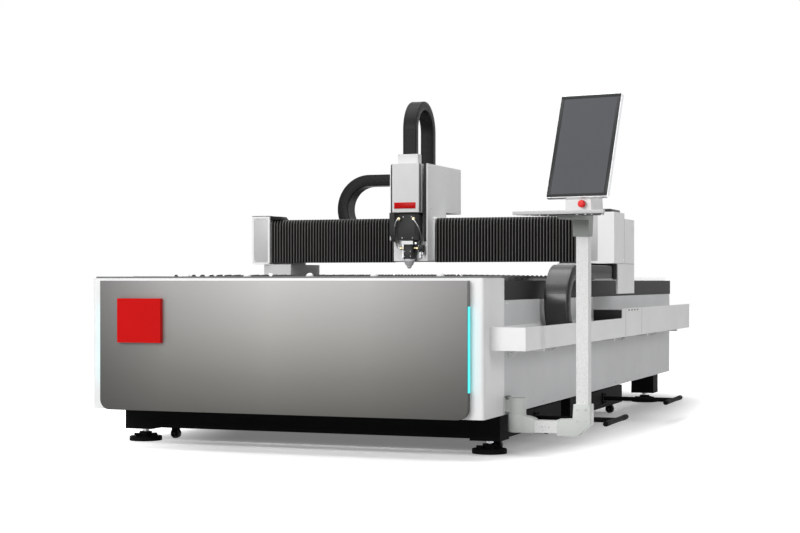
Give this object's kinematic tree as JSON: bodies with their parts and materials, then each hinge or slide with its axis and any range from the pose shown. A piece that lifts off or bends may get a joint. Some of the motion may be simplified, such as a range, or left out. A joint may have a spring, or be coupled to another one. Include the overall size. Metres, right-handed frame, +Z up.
{
  "type": "fiber laser cutting machine",
  "caption": "Open-bed sheet-metal laser cutter: moving bridge with cutting head over a slatted table, swing-out console, roll-out scrap carts and levelling feet.",
  "frame": {"origin": "on the floor, under the middle of the whole machine's floor plan", "axes": "+X to the operator's right, +Y from the front panel to the rear along the bed, +Z up"},
  "size_m": [2.5822, 4.333, 1.8345],
  "materials": {
    "black_paint": "satin powder coat",
    "white_paint": "fine texture powder coat",
    "side_grey_paint": "fine texture powder coat",
    "panel_steel": "metallic grey, satin",
    "strip_grey": "satin",
    "badge_red": "gloss",
    "led_cyan": "light diffuser",
    "machined_steel": "ground",
    "slat_steel": "laser cut, mill scale",
    "ball_white": "polished",
    "chain_plastic": "moulded nylon",
    "bellows_fabric": "coated cloth",
    "motor_black": "semi-gloss",
    "head_grey": "dark anodised",
    "chrome": "polished",
    "brass": "turned",
    "drawer_white": "moulded",
    "post_paint": "speckled powder coat",
    "bracket_grey": "satin",
    "monitor_silver": "satin",
    "screen_glass": "dark glass",
    "stop_red": "moulded",
    "wheel_black": "moulded"
  },
  "bodies": {
    "bed": {"bed_frame": "black_paint", "foot_pads": "black_paint", "foot_studs": "machined_steel", "side_panel_left": "side_grey_paint", "side_panel_right": "side_grey_paint", "front_cabinet": "white_paint", "front_panel": "panel_steel", "badge_plate": "badge_red", "led_strips": "led_cyan", "front_top_strip": "strip_grey", "rear_panel": "side_grey_paint", "rail_beam_left": "black_paint", "rail_beam_right": "black_paint", "y_guides": "machined_steel", "slat_carriers": "black_paint", "support_slats": "slat_steel", "loading_balls": "ball_white", "cable_tray": "white_paint", "tray_brackets": "white_paint", "y_drag_chain": "chain_plastic", "swivel_bracket": "post_paint"},
    "gantry": {"gantry_beam": "machined_steel", "saddle_left": "white_paint", "saddle_right": "white_paint", "end_cap_left": "white_paint", "end_cap_right": "white_paint", "drive_cover": "white_paint", "y_motors": "motor_black", "x_guides": "machined_steel", "x_chain_shelf": "black_paint", "x_drag_chain": "chain_plastic", "bellows_left": "bellows_fabric", "bellows_right": "bellows_fabric"},
    "y_pinion_left": {"y_pinion_left": "machined_steel"},
    "y_pinion_right": {"y_pinion_right": "machined_steel"},
    "carriage": {"carriage_housing": "white_paint", "x_motor": "motor_black", "z_guides": "machined_steel", "z_drag_chain": "chain_plastic"},
    "x_pinion": {"x_pinion": "machined_steel"},
    "head": {"z_cover": "white_paint", "cutting_head": "head_grey", "lens_drawer": "drawer_white", "nozzle": "chrome", "head_fittings": "brass"},
    "console_arm": {"console_arm": "post_paint"},
    "console_head": {"head_bracket": "bracket_grey", "keyboard_tray": "post_paint", "control_box": "post_paint", "monitor_shell": "monitor_silver", "monitor_screen": "screen_glass"},
    "e_stop": {"e_stop_button": "stop_red"},
    "cart_front": {"scrap_cart_front": "black_paint", "pull_handle_front": "black_paint"},
    "front_cart_wheels_left": {"front_cart_wheels_left": "wheel_black"},
    "front_cart_wheels_right": {"front_cart_wheels_right": "wheel_black"},
    "cart_rear": {"scrap_cart_rear": "black_paint", "pull_handle_rear": "black_paint"},
    "rear_cart_wheels_left": {"rear_cart_wheels_left": "wheel_black"},
    "rear_cart_wheels_right": {"rear_cart_wheels_right": "wheel_black"}
  },
  "joints": [
    {"name": "gantry_slide", "type": "slide", "parent": "bed", "child": "gantry", "axis": [0, 1, 0], "range_m": [-1.4, 1.6], "deforming": ["y_drag_chain"]},
    {"name": "carriage_slide", "type": "slide", "parent": "gantry", "child": "carriage", "axis": [1, 0, 0], "range_m": [-0.71, 0.78], "deforming": ["x_drag_chain", "bellows_left", "bellows_right"]},
    {"name": "z_slide", "type": "slide", "parent": "carriage", "child": "head", "axis": [0, 0, 1], "range_m": [-0.025, 0.075], "deforming": ["z_drag_chain"]},
    {"name": "y_pinion_left_turn", "type": "hinge", "parent": "gantry", "child": "y_pinion_left", "pos_m": [-1.1508, 0.1415, 0.8], "axis": [0, 0, 1], "continuous": true},
    {"name": "y_pinion_right_turn", "type": "hinge", "parent": "gantry", "child": "y_pinion_right", "pos_m": [0.6786, 0.1415, 0.8], "axis": [0, 0, 1], "continuous": true},
    {"name": "x_pinion_turn", "type": "hinge", "parent": "carriage", "child": "x_pinion", "pos_m": [-0.2721, 0.0488, 1.14], "axis": [0, 0, 1], "continuous": true},
    {"name": "console_swivel", "type": "hinge", "parent": "bed", "child": "console_arm", "pos_m": [0.8069, -1.7585, 0.19], "axis": [0, 0, 1], "range_deg": [-50, 0]},
    {"name": "screen_swivel", "type": "hinge", "parent": "console_arm", "child": "console_head", "pos_m": [1.1199, -1.7585, 1], "axis": [0, 0, 1], "range_deg": [-10, 60]},
    {"name": "e_stop_press", "type": "slide", "parent": "console_head", "child": "e_stop", "axis": [0.165, 0.9863, 0], "range_m": [0, 0.006], "stiffness_N_per_m": 900, "springref_m": -0.004},
    {"name": "front_cart_roll", "type": "slide", "parent": "bed", "child": "cart_front", "axis": [1, 0, 0], "range_m": [0, 1]},
    {"name": "front_wheels_left_turn", "type": "hinge", "parent": "cart_front", "child": "front_cart_wheels_left", "pos_m": [-1.0421, -1.1615, 0.025], "axis": [0, 1, 0], "continuous": true},
    {"name": "front_wheels_right_turn", "type": "hinge", "parent": "cart_front", "child": "front_cart_wheels_right", "pos_m": [0.6629, -1.1615, 0.025], "axis": [0, 1, 0], "continuous": true},
    {"name": "rear_cart_roll", "type": "slide", "parent": "bed", "child": "cart_rear", "axis": [1, 0, 0], "range_m": [0, 1]},
    {"name": "rear_wheels_left_turn", "type": "hinge", "parent": "cart_rear", "child": "rear_cart_wheels_left", "pos_m": [-1.0421, 0.2835, 0.025], "axis": [0, 1, 0], "continuous": true},
    {"name": "rear_wheels_right_turn", "type": "hinge", "parent": "cart_rear", "child": "rear_cart_wheels_right", "pos_m": [0.6629, 0.2835, 0.025], "axis": [0, 1, 0], "continuous": true}
  ],
  "couplings": [
    {"joint": "y_pinion_left_turn", "follows": "gantry_slide", "rad_per_m": 50},
    {"joint": "y_pinion_right_turn", "follows": "gantry_slide", "rad_per_m": -50},
    {"joint": "x_pinion_turn", "follows": "carriage_slide", "rad_per_m": -50},
    {"joint": "front_wheels_left_turn", "follows": "front_cart_roll", "rad_per_m": 40},
    {"joint": "front_wheels_right_turn", "follows": "front_cart_roll", "rad_per_m": 40},
    {"joint": "rear_wheels_left_turn", "follows": "rear_cart_roll", "rad_per_m": 40},
    {"joint": "rear_wheels_right_turn", "follows": "rear_cart_roll", "rad_per_m": 40}
  ]
}
